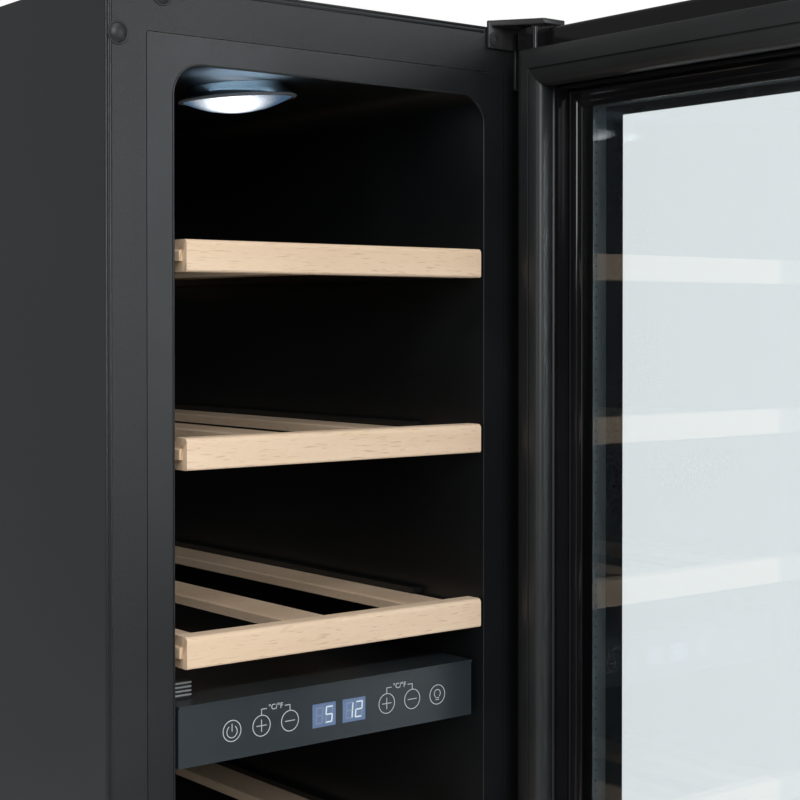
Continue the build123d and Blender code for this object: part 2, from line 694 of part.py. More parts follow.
def moving_nodes():
    nodes = {f"{name}_rotor": fan_rotor(z, FAN_R - 1, FAN_Y, 8, 1.5) for name, z in FANS.items()}
    nodes["condenser_fan_rotor"] = condenser_fan_rotor()
    for name, place in zip(("front_left", "front_right", "rear_left", "rear_right"), foot_places()):
        nodes[f"foot_{name}"] = foot(*place)
    for number, top in enumerate(SHELF_TOPS, start=1):
        nodes[f"shelf_{number}_batten"] = shelf_batten(top)
        nodes[f"shelf_{number}_rails"] = shelf_rails(top)
    return nodes


def door_nodes():
    pane_start = OUTER_GLASS_FACE
    closed = {
        "door_frame": with_handle_holes(door_frame(), 4.3, pane_start, 9.3),
        "door_gasket": door_gasket(),
        "inner_retainer": inner_retainer(),
        "outer_glass": with_handle_holes(outer_glass(), 2.4, pane_start - 1, 8),
        "inner_glass": inner_glass(),
        "glass_spacer": glass_spacer(),
        "hinge_bushes": hinge_bushes(),
        "door_handle": door_handle(),
        "handle_screws": handle_screws(),
    }
    return {name: opened(solid) for name, solid in closed.items()}


for node_name, node in {**cabinet_nodes(), **moving_nodes(), **door_nodes()}.items():
    export(node_name, node)
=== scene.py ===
import json
from math import cos, pi, radians, sin

import bmesh
import bpy
from mathutils import Matrix, Vector


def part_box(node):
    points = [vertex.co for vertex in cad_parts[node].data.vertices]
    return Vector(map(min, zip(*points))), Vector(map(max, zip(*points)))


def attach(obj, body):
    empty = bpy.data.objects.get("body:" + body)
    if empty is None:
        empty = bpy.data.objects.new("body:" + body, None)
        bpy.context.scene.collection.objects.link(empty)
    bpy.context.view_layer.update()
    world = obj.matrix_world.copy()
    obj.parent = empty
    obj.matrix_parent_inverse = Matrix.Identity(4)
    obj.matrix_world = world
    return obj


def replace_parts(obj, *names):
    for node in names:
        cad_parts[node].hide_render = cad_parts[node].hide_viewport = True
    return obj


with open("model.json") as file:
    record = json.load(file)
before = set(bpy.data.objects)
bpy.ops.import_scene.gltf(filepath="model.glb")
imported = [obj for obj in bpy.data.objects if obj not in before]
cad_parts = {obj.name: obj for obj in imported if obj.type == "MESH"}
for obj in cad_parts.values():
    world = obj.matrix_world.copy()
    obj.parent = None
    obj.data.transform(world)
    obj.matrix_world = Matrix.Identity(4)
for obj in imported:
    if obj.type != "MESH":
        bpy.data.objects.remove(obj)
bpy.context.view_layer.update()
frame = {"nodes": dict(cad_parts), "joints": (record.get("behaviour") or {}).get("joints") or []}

MM = 0.001
nodes = frame["nodes"]
hinge = Vector(next(j for j in frame["joints"] if j["name"] == "door_hinge")["pos_m"])
flange_low, flange_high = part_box("front_frame")
side_low, side_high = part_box("left_side_panel")
top_low, top_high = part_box("top_panel")
middle_x = (top_low.x + top_high.x) / 2  # middle of the cabinet
front_y = top_low.y  # front face of the cabinet
corner = Vector((top_low.x, front_y, top_high.z))  # its upper left front corner


# ------------------------------------------------------------------ node groups and finishes


def new_group(name, inputs, outputs):
    """Empty shader node group with named sockets; returns the tree, its input and its output node."""
    tree = bpy.data.node_groups.new(name, "ShaderNodeTree")
    for label, kind, value in inputs:
        socket = tree.interface.new_socket(label, in_out="INPUT", socket_type=kind)
        if value is not None:
            socket.default_value = value
    for label, kind in outputs:
        tree.interface.new_socket(label, in_out="OUTPUT", socket_type=kind)
    return tree, tree.nodes.new("NodeGroupInput"), tree.nodes.new("NodeGroupOutput")


def noise(tree, vector, scale, detail=2.0, roughness=0.5, distortion=0.0):
    """Noise node; scale is a number or a socket."""
    node = tree.nodes.new("ShaderNodeTexNoise")
    node.inputs["Detail"].default_value = detail
    node.inputs["Roughness"].default_value = roughness
    node.inputs["Distortion"].default_value = distortion
    tree.links.new(vector, node.inputs["Vector"])
    put(tree, scale, node.inputs["Scale"])
    return node.outputs["Fac"]


def put(tree, value, socket):
    """Links a socket, or sets a plain value."""
    if isinstance(value, bpy.types.NodeSocket):
        tree.links.new(value, socket)
    else:
        socket.default_value = value


def maths(tree, operation, a, b=0.5):
    node = tree.nodes.new("ShaderNodeMath")
    node.operation = operation
    put(tree, a, node.inputs[0])
    put(tree, b, node.inputs[1])
    return node.outputs[0]


def between(tree, value, low, high, to_low=0.0, to_high=1.0):
    """Value from low..high stretched to to_low..to_high, and clamped there."""
    node = tree.nodes.new("ShaderNodeMapRange")
    for label, number in (("From Min", low), ("From Max", high), ("To Min", to_low), ("To Max", to_high)):
        put(tree, number, node.inputs[label])
    tree.links.new(value, node.inputs["Value"])
    return node.outputs["Result"]


def mix_colour(tree, factor, a, b):
    node = tree.nodes.new("ShaderNodeMix")
    node.data_type = "RGBA"
    put(tree, factor, node.inputs["Factor"])
    put(tree, a, node.inputs[6])
    put(tree, b, node.inputs[7])
    return node.outputs[2]


def stretched(tree, scale, turn=(0, 0, 0)):
    """Object coordinates, stretched and turned."""
    place = tree.nodes.new("ShaderNodeTexCoord")
    mapping = tree.nodes.new("ShaderNodeMapping")
    mapping.inputs["Scale"].default_value = scale
    mapping.inputs["Rotation"].default_value = turn
    tree.links.new(place.outputs["Object"], mapping.inputs["Vector"])
    return mapping.outputs["Vector"]


def make_surface_grain():
    """Fine tooth, broad cloudiness and light dust, shared by the paints, plastics and metals."""
    tree, given, made = new_group(
        "surface_grain",
        [
            ("Vector", "NodeSocketVector", None),
            ("Grain Scale", "NodeSocketFloat", 900.0),
            ("Colour", "NodeSocketColor", (0.1, 0.1, 0.1, 1)),
            ("Worn Colour", "NodeSocketColor", (0.14, 0.14, 0.14, 1)),
            ("Roughness", "NodeSocketFloat", 0.4),
            ("Roughness Spread", "NodeSocketFloat", 0.08),
        ],
        [("Colour", "NodeSocketColor"), ("Roughness", "NodeSocketFloat"), ("Height", "NodeSocketFloat")],
    )
    fine = noise(tree, given.outputs["Vector"], given.outputs["Grain Scale"], 2.0, 0.55)
    cloud = noise(tree, given.outputs["Vector"], 9.0, 3.0, 0.6, 0.4)
    specks = noise(tree, given.outputs["Vector"], 2600.0, 1.0)
    share = maths(tree, "MULTIPLY", between(tree, cloud, 0.35, 0.7), between(tree, fine, 0.3, 0.75, 0.5, 1.0))
    share = maths(tree, "ADD", share, between(tree, specks, 0.72, 0.8, 0.0, 0.3))
    colour = mix_colour(tree, share, given.outputs["Colour"], given.outputs["Worn Colour"])
    swing = maths(tree, "SUBTRACT", maths(tree, "ADD", maths(tree, "MULTIPLY", fine, 0.5),
                                          maths(tree, "MULTIPLY", cloud, 0.5)), 0.5)
    spread = maths(tree, "MULTIPLY", given.outputs["Roughness Spread"], 4.0)
    rough = maths(tree, "ADD", given.outputs["Roughness"], maths(tree, "MULTIPLY", swing, spread))
    tree.links.new(colour, made.inputs["Colour"])
    tree.links.new(rough, made.inputs["Roughness"])
    tree.links.new(fine, made.inputs["Height"])
    return tree


def make_beech_grain():
    """Planed beech: long soft figure, short dark flecks, and slanting rings on the end grain."""
    tree, given, made = new_group(
        "beech_grain",
        [
            ("Along", "NodeSocketVector", None),
            ("Across", "NodeSocketVector", None),
            ("End", "NodeSocketFloat", 0.0),
        ],
        [("Colour", "NodeSocketColor"), ("Roughness", "NodeSocketFloat"), ("Height", "NodeSocketFloat")],
    )
    figure = noise(tree, given.outputs["Along"], 34.0, 5.0, 0.6, 0.9)
    pores = noise(tree, given.outputs["Along"], 2400.0, 3.0, 0.7)
    flecks = noise(tree, given.outputs["Along"], 1300.0, 1.0, 0.4, 0.3)
    pale, warm, dark = (0.95, 0.745, 0.55, 1), (0.86, 0.635, 0.44, 1), (0.48, 0.3, 0.17, 1)
    colour = mix_colour(tree, between(tree, figure, 0.32, 0.7), pale, warm)
    colour = mix_colour(tree, between(tree, flecks, 0.63, 0.72, 0.0, 0.42), colour, dark)
    colour = mix_colour(tree, between(tree, pores, 0.3, 0.7, 0.0, 0.16), colour, dark)
    rings = tree.nodes.new("ShaderNodeTexWave")
    rings.wave_type = "BANDS"
    rings.inputs["Scale"].default_value = 95.0
    rings.inputs["Distortion"].default_value = 1.6
    rings.inputs["Detail"].default_value = 2.0
    rings.inputs["Detail Scale"].default_value = 1.4
    tree.links.new(given.outputs["Across"], rings.inputs["Vector"])
    ring_lines = between(tree, rings.outputs["Fac"], 0.62, 0.98, 0.0, 0.6)
    end_colour = mix_colour(tree, ring_lines, (0.8, 0.59, 0.4, 1), (0.46, 0.3, 0.18, 1))
    colour = mix_colour(tree, given.outputs["End"], colour, end_colour)
    tree.links.new(colour, made.inputs["Colour"])
    tree.links.new(between(tree, pores, 0.2, 0.8, 0.5, 0.68), made.inputs["Roughness"])
    tree.links.new(maths(tree, "ADD", pores, maths(tree, "MULTIPLY", figure, 0.6)), made.inputs["Height"])
    return tree


SURFACE_GRAIN = make_surface_grain()
BEECH_GRAIN = make_beech_grain()


def new_material(name):
    material = bpy.data.materials.new(name)
    material.use_nodes = True
    return material, material.node_tree, material.node_tree.nodes["Principled BSDF"]


def placed_group(tree, group):
    node = tree.nodes.new("ShaderNodeGroup")
    node.node_tree = group
    return node


def bump(tree, shader, height, strength, depth):
    node = tree.nodes.new("ShaderNodeBump")
    node.inputs["Strength"].default_value = strength
    node.inputs["Distance"].default_value = depth
    tree.links.new(height, node.inputs["Height"])
    tree.links.new(node.outputs["Normal"], shader.inputs["Normal"])


def coated(name, colour, worn, roughness, spread=0.06, grain=900.0, tooth=0.25, depth=0.00012,
           metallic=0.0, stretch=(1, 1, 1), specular=0.5):
    """Paint, plastic, rubber or metal with its own tooth and slight unevenness."""
    material, tree, shader = new_material(name)
    grained = placed_group(tree, SURFACE_GRAIN)
    tree.links.new(stretched(tree, stretch), grained.inputs["Vector"])
    grained.inputs["Grain Scale"].default_value = grain
    grained.inputs["Colour"].default_value = (*colour, 1)
    grained.inputs["Worn Colour"].default_value = (*worn, 1)
    grained.inputs["Roughness"].default_value = roughness
    grained.inputs["Roughness Spread"].default_value = spread
    tree.links.new(grained.outputs["Colour"], shader.inputs["Base Color"])
    tree.links.new(grained.outputs["Roughness"], shader.inputs["Roughness"])
    shader.inputs["Metallic"].default_value = metallic
    shader.inputs["Specular IOR Level"].default_value = specular
    bump(tree, shader, grained.outputs["Height"], tooth, depth)
    return material


def paint_recess_shade(material, colour, places):
    """Paints shade on a finish: a dark colour below each (front, height) step, standing in for the shade in
    the recesses there.
    """
    tree = material.node_tree
    shader = next(node for node in tree.nodes if node.type == "BSDF_PRINCIPLED")
    unshaded = shader.inputs["Base Color"].links[0].from_socket
    place = tree.nodes.new("ShaderNodeTexCoord")
    parts = tree.nodes.new("ShaderNodeSeparateXYZ")
    tree.links.new(place.outputs["Object"], parts.inputs[0])
    shade_share = 0.0
    for front, height in places:
        below = between(tree, parts.outputs["Z"], height, height + 1 * MM, 1.0, 0.0)
        behind = between(tree, parts.outputs["Y"], front - 1 * MM, front)
        shade_share = maths(tree, "MAXIMUM", maths(tree, "MULTIPLY", below, behind), shade_share)
    tree.links.new(mix_colour(tree, shade_share, unshaded, (*colour, 1)), shader.inputs["Base Color"])


def beech(name, grain_axis):
    """Beech with its grain along X or Y."""
    material, tree, shader = new_material(name)
    slow = tuple(0.07 if axis == grain_axis else 1.0 for axis in "XYZ")
    grained = placed_group(tree, BEECH_GRAIN)
    tree.links.new(stretched(tree, slow), grained.inputs["Along"])
    tree.links.new(stretched(tree, (1, 1, 1), (radians(-33), 0, radians(20))), grained.inputs["Across"])
    place = tree.nodes.new("ShaderNodeTexCoord")
    parts = tree.nodes.new("ShaderNodeSeparateXYZ")
    tree.links.new(place.outputs["Normal"], parts.inputs[0])
    facing = maths(tree, "ABSOLUTE", parts.outputs["XYZ".index(grain_axis)])
    tree.links.new(between(tree, facing, 0.75, 0.95), grained.inputs["End"])
    tree.links.new(grained.outputs["Colour"], shader.inputs["Base Color"])
    tree.links.new(grained.outputs["Roughness"], shader.inputs["Roughness"])
    shader.inputs["Specular IOR Level"].default_value = 0.35
    bump(tree, shader, grained.outputs["Height"], 0.3, 0.0002)
    return material


def glass(name, tint):
    """Clear float glass, very slightly uneven."""
    material, tree, shader = new_material(name)
    shader.inputs["Base Color"].default_value = (*tint, 1)
    shader.inputs["Transmission Weight"].default_value = 1.0
    shader.inputs["IOR"].default_value = 1.5
    smear = between(tree, noise(tree, stretched(tree, (1, 1, 1)), 14.0, 4.0, 0.6, 0.5), 0.3, 0.8, 0.0, 0.006)
    tree.links.new(smear, shader.inputs["Roughness"])
    return material


def glowing(name, inner, outer, centre, radius, strength):
    """Lit diffuser: bright in the middle, bluer and dimmer towards its rim."""
    material, tree, shader = new_material(name)
    place = tree.nodes.new("ShaderNodeTexCoord")
    away = tree.nodes.new("ShaderNodeVectorMath")
    away.operation = "DISTANCE"
    tree.links.new(place.outputs["Object"], away.inputs[0])
    away.inputs[1].default_value = centre
    ribs = noise(tree, place.outputs["Object"], 700.0, 2.0)
    near = between(tree, away.outputs["Value"], radius * 0.25, radius * 1.02, 1.0, 0.0)
    near = maths(tree, "POWER", near, 2.8)
    near = maths(tree, "MULTIPLY", near, between(tree, ribs, 0.3, 0.7, 0.72, 1.1))
    share = maths(tree, "SUBTRACT", 1.0, near)
    colour = mix_colour(tree, share, (*inner, 1), (*outer, 1))
    tree.links.new(colour, shader.inputs["Emission Color"])
    tree.links.new(colour, shader.inputs["Base Color"])
    shader.inputs["Emission Strength"].default_value = strength
    shader.inputs["Roughness"].default_value = 0.25
    return material


def lit(name, colour, strength):
    """Backlit flat colour with the faint unevenness of a diffuser sheet."""
    material, tree, shader = new_material(name)
    cloud = noise(tree, stretched(tree, (1, 1, 1)), 1400.0, 2.0)
    shade = mix_colour(tree, between(tree, cloud, 0.2, 0.8), (*[c * 0.86 for c in colour], 1), (*colour, 1))
    tree.links.new(shade, shader.inputs["Emission Color"])
    tree.links.new(shade, shader.inputs["Base Color"])
    shader.inputs["Emission Strength"].default_value = strength
    shader.inputs["Roughness"].default_value = 0.35
    return material


SIDE_PAINT = coated("charcoal_side_paint", (0.016, 0.018, 0.020), (0.023, 0.026, 0.028), 0.42, grain=1500.0,
                    tooth=0.35, depth=0.00015)
FLANGE_PAINT = coated("black_flange_paint", (0.007, 0.0075, 0.0082), (0.012, 0.0127, 0.0135), 0.34,
                      grain=1900.0, tooth=0.5, depth=0.0002)
LINER_PLASTIC = coated("liner_plastic", (0.0065, 0.0075, 0.0085), (0.010, 0.0115, 0.0125), 0.34, grain=800.0,
                       tooth=0.12)
GLOSS_BLACK = coated("gloss_black_moulding", (0.006, 0.006, 0.007), (0.010, 0.010, 0.011), 0.12, spread=0.03,
                     grain=400.0, tooth=0.06, depth=0.00008, specular=0.36)
TRIM_PLASTIC = coated("black_trim_plastic", (0.014, 0.014, 0.015), (0.022, 0.022, 0.023), 0.45, grain=1300.0)
GASKET = coated("gasket_vinyl", (0.010, 0.0108, 0.0118), (0.015, 0.016, 0.017), 0.43, grain=500.0, tooth=0.15)
PANEL_SLATE = coated("slate_panel", (0.024, 0.032, 0.037), (0.029, 0.038, 0.044), 0.3, spread=0.03,
                     grain=600.0, tooth=0.05)
HINGE_PAINT = coated("hinge_black_paint", (0.017, 0.017, 0.018), (0.026, 0.026, 0.027), 0.3, grain=1200.0)
GALVANISED = coated("galvanised_sheet", (0.42, 0.43, 0.44), (0.55, 0.56, 0.57), 0.4, spread=0.1, grain=120.0,
                    tooth=0.1, metallic=0.9)
ZINC = coated("zinc_steel", (0.5, 0.5, 0.5), (0.62, 0.61, 0.58), 0.3, grain=900.0, tooth=0.1, metallic=1.0,
              stretch=(1, 1, 0.05))
ALUMINIUM = coated("rolled_aluminium", (0.62, 0.63, 0.64), (0.72, 0.73, 0.74), 0.32, grain=700.0, tooth=0.15,
                   metallic=1.0, stretch=(0.05, 1, 1))
SPACER = coated("anodised_spacer", (0.135, 0.16, 0.168), (0.18, 0.205, 0.215), 0.45, grain=900.0, tooth=0.1,
                metallic=0.55, stretch=(1, 1, 0.05))
COPPER = coated("bare_copper", (0.62, 0.3, 0.18), (0.42, 0.22, 0.15), 0.3, grain=300.0, metallic=1.0)
CAN_PAINT = coated("compressor_enamel", (0.012, 0.012, 0.013), (0.02, 0.02, 0.021), 0.18, grain=300.0,
                   tooth=0.1)
FOAM = coated("polyurethane_foam", (0.78, 0.66, 0.38), (0.85, 0.76, 0.5), 0.85, grain=500.0, tooth=0.6,
              depth=0.0005)
BOARD_GREEN = coated("solder_mask", (0.02, 0.12, 0.05), (0.03, 0.16, 0.07), 0.3, grain=500.0)
ACETAL = coated("natural_acetal", (0.7, 0.69, 0.65), (0.78, 0.77, 0.73), 0.4)
WHITE_PLASTIC = coated("white_moulding", (0.72, 0.73, 0.73), (0.8, 0.81, 0.81), 0.35)
LAMP_RING = coated("lamp_ring_plastic", (0.34, 0.39, 0.45), (0.42, 0.47, 0.53), 0.2, spread=0.03, tooth=0.08)
FOOT_RUBBER = coated("foot_rubber", (0.016, 0.016, 0.016), (0.03, 0.03, 0.03), 0.7, grain=700.0, tooth=0.4)
BORDER_PRINT = coated("black_border_print", (0.005, 0.006, 0.007), (0.007, 0.008, 0.009), 0.25, grain=600.0,
                      tooth=0.03)
ICON_PRINT = coated("pale_icon_print", (0.62, 0.66, 0.7), (0.7, 0.74, 0.78), 0.5, tooth=0.05)
PERFORATION = coated("perforation_shadow", (0.01, 0.012, 0.014), (0.014, 0.016, 0.018), 0.7)
RIB_GREY = coated("vent_rib_grey", (0.30, 0.31, 0.32), (0.38, 0.39, 0.40), 0.35)
BEECH_ALONG_X = beech("beech_along_x", "X")
BEECH_ALONG_Y = beech("beech_along_y", "Y")
CLEAR_GLASS = glass("clear_glass", (0.905, 0.942, 0.955))
DISPLAY_BLUE = lit("display_blue", (0.10, 0.146, 0.253), 0.55)
SEGMENT_WHITE = lit("segment_white", (0.5, 0.555, 0.575), 0.7)
SEGMENT_GHOST = lit("segment_ghost", (0.15, 0.2, 0.27), 0.6)

FINISHES = {
    SIDE_PAINT: ["left_side_panel", "right_side_panel", "top_panel"],
    FLANGE_PAINT: ["front_frame"],
    GALVANISED: ["back_panel", "rear_grille", "base_pan"],
    TRIM_PLASTIC: ["plinth_grille", "fan_motors", "condenser_fan_shroud", "drip_tray", "mains_inlet"],
    FOAM: ["foam_insulation"],
    LINER_PLASTIC: ["inner_liner", "zone_divider", "upper_air_cover", "lower_air_cover"],
    PANEL_SLATE: ["control_housing", "control_face"],
    DISPLAY_BLUE: ["displays"],
    BOARD_GREEN: ["control_board"],
    ALUMINIUM: ["evaporator_plates", "condenser"],
    WHITE_PLASTIC: ["temperature_sensors"],
    CAN_PAINT: ["compressor"],
    COPPER: ["refrigerant_pipes"],
    HINGE_PAINT: ["bottom_hinge_bracket", "door_handle", "hinge_screws", "hinge_pins"],
    ZINC: ["handle_screws"],
    FOOT_RUBBER: [n for n in nodes if n.startswith("foot_")],
    GLOSS_BLACK: ["door_frame"],
    CLEAR_GLASS: ["outer_glass", "inner_glass"],
    SPACER: ["glass_spacer"],
    ACETAL: ["hinge_bushes"],
    BEECH_ALONG_X: [n for n in nodes if n.endswith("_batten")],
    BEECH_ALONG_Y: [n for n in nodes if n.endswith("_rails")],
}


def finish_cad_nodes():
    """Gives each node that no new piece stands for its finish."""
    foam_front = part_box("foam_insulation")[0].y
    bay_low, bay_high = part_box("compressor")
    behind_plinth = (foam_front, 100 * MM)
    round_compressor = (bay_low.y - 30 * MM, bay_high.z + 40 * MM)
    # painted shade: the foam behind the plinth and round the compressor is darkened, as it lies in shade
    # there
    paint_recess_shade(FOAM, (0.012, 0.012, 0.013), [behind_plinth, round_compressor])
    for material, names in FINISHES.items():
        for name in names:
            nodes[name].data.materials.clear()
            nodes[name].data.materials.append(material)


# ------------------------------------------------------------------ making pieces


def piece(name, bm, body, material, smooth_angle=35):
    """Turns a bmesh into a finished piece that rides on a body."""
    bmesh.ops.remove_doubles(bm, verts=bm.verts, dist=1e-7)
    bmesh.ops.recalc_face_normals(bm, faces=bm.faces)
    mesh = bpy.data.meshes.new(name)
    for face in bm.faces:
        face.smooth = True
    for edge in bm.edges:
        if len(edge.link_faces) == 2 and edge.calc_face_angle(0) > radians(smooth_angle):
            edge.smooth = False
    bm.to_mesh(mesh)
    bm.free()
    made = bpy.data.objects.new(name, mesh)
    bpy.context.scene.collection.objects.link(made)
    mesh.materials.append(material)
    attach(made, body)
    return made


def add_block(bm, low, high, bevel):
    """Adds a box between two corners, with its edges rounded."""
    low, high = Vector(low), Vector(high)
    made = bmesh.ops.create_cube(bm, size=1.0)["verts"]
    bmesh.ops.scale(bm, vec=high - low, verts=made)
    bmesh.ops.translate(bm, vec=(low + high) / 2, verts=made)
    round_edges(bm, made, bevel)


def round_edges(bm, verts, radius):
    """Rounds every edge of a closed shape."""
    edges = list({e for v in verts for e in v.link_edges})
    bmesh.ops.bevel(bm, geom=edges, offset=radius, segments=3, profile=0.5, affect="EDGES", material=-1)


def add_rod(bm, start, end, radius):
    """Round rod with slightly domed ends."""
    run = end - start
    place = Matrix.Translation((start + end) / 2) @ run.to_track_quat("Z", "Y").to_matrix().to_4x4()
    made = bmesh.ops.create_cone(bm, cap_ends=True, segments=12, radius1=radius, radius2=radius,
                                 depth=run.length, matrix=place)["verts"]
    ends = [e for e in {e for v in made for e in v.link_edges} if any(len(f.verts) > 4 for f in e.link_faces)]
    bmesh.ops.bevel(bm, geom=ends, offset=radius * 0.35, segments=2, profile=0.5, affect="EDGES", material=-1)


def spun(centre, profile, closed, steps):
    """Profile of (radius, height) points turned all the way round the vertical through centre."""
    bm = bmesh.new()
    verts = [bm.verts.new(centre + Vector((out, 0, up))) for out, up in profile]
    pairs = list(zip(verts, verts[1:])) + ([(verts[-1], verts[0])] if closed else [])
    edges = [bm.edges.new(pair) for pair in pairs]
    bmesh.ops.spin(bm, geom=verts + edges, cent=centre, axis=(0, 0, 1), angle=2 * pi, steps=steps,
                   use_merge=True)
    bmesh.ops.remove_doubles(bm, verts=bm.verts, dist=1e-6)
    return bm


# ------------------------------------------------------------------ door

door_low, door_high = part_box("outer_glass")
DOOR_WIDTH = door_high.y - door_low.y
PANE_FACE = hinge.x + hinge.y - door_high.x  # outer glass face of the closed door, along Y
CLOSED_RIGHT = hinge.x + door_high.y - hinge.y  # the closed door's hinge-side edge, along X


def opened(bm):
    """Turns a piece made on the closed door to the door's rest position, open at 90 degrees."""
    turn = Matrix.Translation(hinge) @ Matrix.Rotation(radians(90), 4, "Z") @ Matrix.Translation(-hinge)
    bmesh.ops.transform(bm, matrix=turn, verts=bm.verts)


def door_point(side, end, margin, depth, side_extra=0.0):
    """Point of the closed door, margin inside its edges, depth behind the outer glass face."""
    across = margin + side_extra
    x = CLOSED_RIGHT - across if side > 0 else CLOSED_RIGHT - DOOR_WIDTH + across
    z = door_high.z - margin if end > 0 else door_low.z + margin
    return Vector((x, PANE_FACE + depth, z))


def mitred_ring(profile, seam=0.0, side_extra=0.0):
    """Closed section carried round the door with mitred corners; seam pinches it at each mitre.
    The profile's points are (margin from the door's edge, depth behind the outer glass) in mm."""
    bm = bmesh.new()
    centre = sum((Vector(p) for p in profile), Vector((0, 0))) / len(profile)
    corners = [(1, 1), (-1, 1), (-1, -1), (1, -1)]
    runs = [Vector((-1, 0, 0)), Vector((0, 0, -1)), Vector((1, 0, 0)), Vector((0, 0, 1))]
    loops = []
    for number, (side, end) in enumerate(corners):
        before, after = runs[number - 1], runs[number]
        shifts = [(-before, 0.0), (None, seam), (after, 0.0)] if seam else [(None, 0.0)]
        for way, pinch in shifts:
            verts = []
            for margin, depth in profile:
                inwards = (centre - Vector((margin, depth))).normalized() * pinch
                place = (Vector((margin, depth)) + inwards) * MM
                at = door_point(side, end, place.x, place.y, side_extra * MM)
                if way is not None:
                    at += way * 1.1 * MM
                verts.append(bm.verts.new(at))
            loops.append([bm.edges.new((verts[i - 1], verts[i])) for i in range(len(verts))])
    for number, loop in enumerate(loops):
        bmesh.ops.bridge_loops(bm, edges=loops[number - 1] + loop)
    return bm


def make_gasket():
    """Magnetic gasket: folded waist, an outer band sloping up to a groove, and a flat face with a deep
    rounded side towards the window."""
    outer = [(15.2, 18.5), (15.2, 26.2), (16.6, 27.4), (15.4, 29.2), (14.7, 30.4), (14.7, 37.2), (15.3, 38.1)]
    face = [(20.0, 39.6), (26.2, 41.7), (27.2, 41.8), (27.5, 40.9), (28.2, 40.9), (28.5, 41.8), (29.2, 41.9)]
    bulb = [(34.0, 41.9), (35.6, 41.6), (36.8, 40.8), (37.5, 39.6), (37.9, 38.0), (38.0, 35.6), (37.7, 32.2)]
    waist = [(36.8, 30.4), (35.0, 29.2), (36.2, 27.6), (36.6, 26.2), (36.4, 23.6), (35.2, 22.6), (30.4, 22.5)]
    bm = mitred_ring(outer + face + bulb + waist + [(30.0, 18.5)], seam=0.35)
    opened(bm)
    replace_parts(piece("gasket_bulb", bm, "door", GASKET, 50), "door_gasket")


def make_retainer():
    """Clip-in strip round the inner glass: a raised bead, a flat ledge and a thin lip down to the pane."""
    bead = [(40.2, 19.02), (40.2, 20.5), (40.7, 21.0), (41.4, 21.0), (41.9, 20.5), (45.6, 20.5)]
    lip = [(46.2, 20.3), (46.6, 19.8), (49.9, 19.7), (50.3, 19.5), (50.5, 19.02)]
    bm = mitred_ring(bead + lip, seam=0.12)
    opened(bm)
    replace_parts(piece("glass_retainer", bm, "door", GLOSS_BLACK, 30), "inner_retainer")


def make_border_print():
    """Black ceramic border printed on the inner side of the outer glass, wider at the sides."""
    bm = mitred_ring([(0.9, 4.02), (0.9, 4.2), (55.8, 4.2), (55.8, 4.02)], side_extra=14.3)
    opened(bm)
    piece("border_print", bm, "door", BORDER_PRINT)


def make_perforations():
    """Row of desiccant holes along each inner side of the glass spacer."""
    bm = bmesh.new()
    end_margin, side_margin, depth, pitch = 50.0, 56.7, 12.4, 6.0
    extra = (side_margin - end_margin) * MM
    low = door_point(-1, -1, end_margin * MM, depth * MM, extra)
    high = door_point(1, 1, end_margin * MM, depth * MM, extra)
    rows = [("X", low.x, low.z, high.z), ("X", high.x, low.z, high.z),
            ("Z", low.z, low.x, high.x), ("Z", high.z, low.x, high.x)]
    for normal, at, start, end in rows:
        count = int((end - start) / (pitch * MM))
        for number in range(count):
            along = start + (number + 0.5) * (end - start) / count
            turn = Matrix.Rotation(pi / 2, 4, "Y") if normal == "X" else Matrix.Identity(4)
            spot = (at, low.y, along) if normal == "X" else (along, low.y, at)
            bmesh.ops.create_cone(bm, cap_ends=True, segments=8, radius1=0.6 * MM, radius2=0.6 * MM,
                                  depth=0.16 * MM, matrix=Matrix.Translation(spot) @ turn)
    opened(bm)
    piece("spacer_perforations", bm, "door", PERFORATION)


# ------------------------------------------------------------------ folded steel edges

FOLD_INSETS = (0.86 * MM, 3.3 * MM)  # from the cabinet's sides
FOLD_DROPS = (0.95 * MM, 3.3 * MM)  # from its top
HINGE_ROOM = 40 * MM  # the top folds stop this far short of the hinge side


def make_folded_edges():
    """Rolled folds where the side panels, the top and the steel flange meet at the front."""
    bm = bmesh.new()
    radius, base = 0.85 * MM, flange_low.z + 2 * MM
    for side, edge in ((1, side_low.x), (-1, top_high.x)):
        for inset in FOLD_INSETS:
            place = Vector((edge + side * inset, front_y + 0.35 * MM, 0))
            add_rod(bm, place + Vector((0, 0, base)), place + Vector((0, 0, top_high.z - 1.2 * MM)), radius)
    for drop in FOLD_DROPS:
        level = Vector((0, front_y + 0.35 * MM, top_high.z - drop))
        near, far = side_low.x + 1.5 * MM, top_high.x - HINGE_ROOM
        add_rod(bm, level + Vector((near, 0, 0)), level + Vector((far, 0, 0)), radius)
    piece("folded_edges", bm, "cabinet", FLANGE_PAINT, 40)


# ------------------------------------------------------------------ plugs, mouth and hinge


